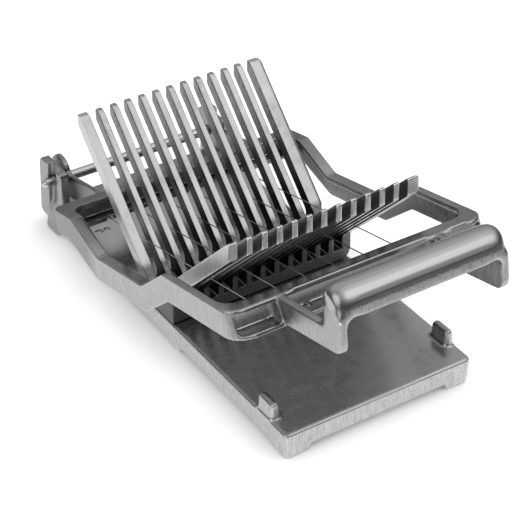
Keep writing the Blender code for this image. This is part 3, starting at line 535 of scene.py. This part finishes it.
# Steel, with fine lines along one axis
LINE_SIZE = 0.25 * MM
LINE_STRETCH = 12
LINE_DARK = 0.85
LINE_LIGHT = 1.1
LINE_LEVELS = (0.3, 0.7)
LINE_BUMP = 0.02 * MM
LINE_BUMP_STRENGTH = 0.4


def steel(name, level, roughness, along):
    paint = Paint(name, metallic=1.0)
    stretch = [LINE_STRETCH if axis == along else 1 for axis in "XYZ"]
    lines = paint.noise(LINE_SIZE, stretch=stretch)
    colour = paint.greys(lines, (level * LINE_DARK, level * LINE_LIGHT))
    rough = paint.ramp(lines, *LINE_LEVELS, *roughness)
    return paint.finish(colour, rough, paint.bump(lines, LINE_BUMP, LINE_BUMP_STRENGTH))


rod_metal = steel("ground_steel", level=0.50, roughness=(0.18, 0.30), along="X")
wire_metal = steel("drawn_steel", level=0.42, roughness=(0.25, 0.38), along="Y")
screw_metal = steel("plated_steel", level=0.50, roughness=(0.28, 0.42), along="Z")
for name, node in nodes.items():
    if name == "pivot_rod":
        metal = rod_metal
    elif name.startswith("wire"):
        metal = wire_metal
    elif "screw" in name or "nut" in name:
        metal = screw_metal
    else:
        continue
    paint_piece(node, metal)
    smooth(node.data)

# Floor: white to the camera but for the contact shadow, and darker far away to every other ray
FLOOR_HALF = 8.0
FLOOR_DROP = 0.05 * MM
FLOOR_GLOW = 0.54
FLOOR_TINT_SIZE = 400 * MM
FLOOR_SHADES = (0.97, 0.99)
FLOOR_ROUGHNESS = 1.0
SHADOW_REACH = 42 * MM
SHADOW_SAMPLES = 8
SHADOW_POWER = 1.6
TABLE_FADE_FROM = 340 * MM
TABLE_HALF = 680 * MM
FAR_SHADE = 0.30


def neutral(level):
    return (level, level, level, 1)


floor_shape = bmesh.new()
bmesh.ops.create_grid(floor_shape, x_segments=2, y_segments=2, size=FLOOR_HALF)
floor = link("floor", mesh_of("floor", floor_shape))
floor.location.z = -FLOOR_DROP
floor_paint = Paint("floor_white", metallic=0.0)
floor_paint.shader.inputs["Specular IOR Level"].default_value = 0.0
floor_paint.shader.inputs["Emission Color"].default_value = WHITE
rays = floor_paint.add("ShaderNodeLightPath").outputs
seen = floor_paint.math("MAXIMUM", rays["Is Camera Ray"], rays["Is Glossy Ray"])
seen = floor_paint.math("MAXIMUM", seen, rays["Is Transmission Ray"])
shadow = floor_paint.add("ShaderNodeAmbientOcclusion", samples=SHADOW_SAMPLES)
shadow.inputs["Distance"].default_value = SHADOW_REACH
open_share = floor_paint.math("POWER", shadow.outputs["AO"], SHADOW_POWER)
open_share = floor_paint.math("MAXIMUM", open_share, rays["Is Glossy Ray"])
away = floor_paint.add("ShaderNodeVectorMath", operation="LENGTH")
floor_paint.put(floor_paint.place, away.inputs[0])
on_table = floor_paint.fall(away.outputs["Value"], TABLE_FADE_FROM, TABLE_HALF)
on_table = floor_paint.math("MAXIMUM", on_table, rays["Is Camera Ray"])
glow = floor_paint.math("MULTIPLY", floor_paint.math("MULTIPLY", seen, open_share), FLOOR_GLOW)
glow = floor_paint.math("MULTIPLY", glow, on_table)
floor_paint.put(glow, floor_paint.shader.inputs["Emission Strength"])
floor_tint = floor_paint.noise(FLOOR_TINT_SIZE, detail=1.0)
floor_colour = floor_paint.mix(floor_tint, *(neutral(shade) for shade in FLOOR_SHADES))
floor_colour = floor_paint.mix(on_table, neutral(FAR_SHADE), floor_colour)
floor.data.materials.append(floor_paint.finish(floor_colour, FLOOR_ROUGHNESS))

# World: darker towards the horizon, with soft lights that stand around the part
WORLD_SIDE = 0.12
WORLD_TOP = 0.55
SIDE_RISE = 0.10
TOP_RISE = 0.85
LIGHTS = (
    # azimuth from the front to the right, elevation, strength, cosine at its rim, cosine at its heart
    (37, 45, 0.78, 0.88, 0.995),
    (40, 52, 0.50, 0.62, 0.98),
    (150, 34, 0.28, 0.30, 1.0),
    (-74, 26, 1.10, 0.80, 0.98),
)


def towards(azimuth, elevation):
    a, e = math.radians(azimuth), math.radians(elevation)
    return Vector((math.sin(a) * math.cos(e), -math.cos(a) * math.cos(e), math.sin(e)))


def nearness(sky, looked_at, direction):
    """The cosine between the direction looked at and this one."""
    dot = sky.add("ShaderNodeVectorMath", operation="DOT_PRODUCT")
    sky.put(looked_at, dot.inputs[0])
    sky.put(direction, dot.inputs[1])
    return dot.outputs["Value"]


world = bpy.data.worlds.new("studio")
bpy.context.scene.world = world
sky = Nodes(world)
background = sky.tree.nodes["Background"]
looked_at = sky.add("ShaderNodeTexCoord").outputs["Generated"]
strength = sky.ramp(nearness(sky, looked_at, UP), SIDE_RISE, TOP_RISE, WORLD_SIDE, WORLD_TOP)
for azimuth, elevation, light, rim, heart in LIGHTS:
    near = nearness(sky, looked_at, towards(azimuth, elevation))
    lobe = sky.ramp(near, rim, heart, 0.0, light)
    strength = sky.math("ADD", strength, lobe)
sky.put(strength, background.inputs["Strength"])
sky.put(WHITE, background.inputs["Color"])

# Camera, fitted to the photograph
CAMERA_SIDE = -0.48830
CAMERA_BEFORE_HINGE = 0.90241
CAMERA_HEIGHT = 0.67251
CAMERA_AZIMUTH = -32.796
CAMERA_ELEVATION = 35.290
CAMERA_ROLL = math.radians(-0.2585)
CAMERA_SENSOR = 36
CAMERA_LENS = 130.58
CAMERA_CLIP_START = 0.05
CAMERA_CLIP_END = 50

azimuth = math.radians(CAMERA_AZIMUTH)
flat_right = Vector((math.cos(azimuth), math.sin(azimuth), 0))
back = towards(CAMERA_AZIMUTH, CAMERA_ELEVATION)
level_up = back.cross(flat_right)
right = math.cos(CAMERA_ROLL) * flat_right + math.sin(CAMERA_ROLL) * level_up
up = -math.sin(CAMERA_ROLL) * flat_right + math.cos(CAMERA_ROLL) * level_up
camera_data = bpy.data.cameras.new("camera")
camera_data.sensor_width = CAMERA_SENSOR
camera_data.lens = CAMERA_LENS
camera_data.clip_start = CAMERA_CLIP_START
camera_data.clip_end = CAMERA_CLIP_END
camera = link("camera", camera_data)
eye = Vector((CAMERA_SIDE, hinge.y - CAMERA_BEFORE_HINGE, CAMERA_HEIGHT))
turn = Matrix((right, up, back)).transposed().to_4x4()
camera.matrix_world = Matrix.Translation(eye) @ turn
bpy.context.scene.camera = camera

bpy.context.scene.view_settings.view_transform = "Standard"
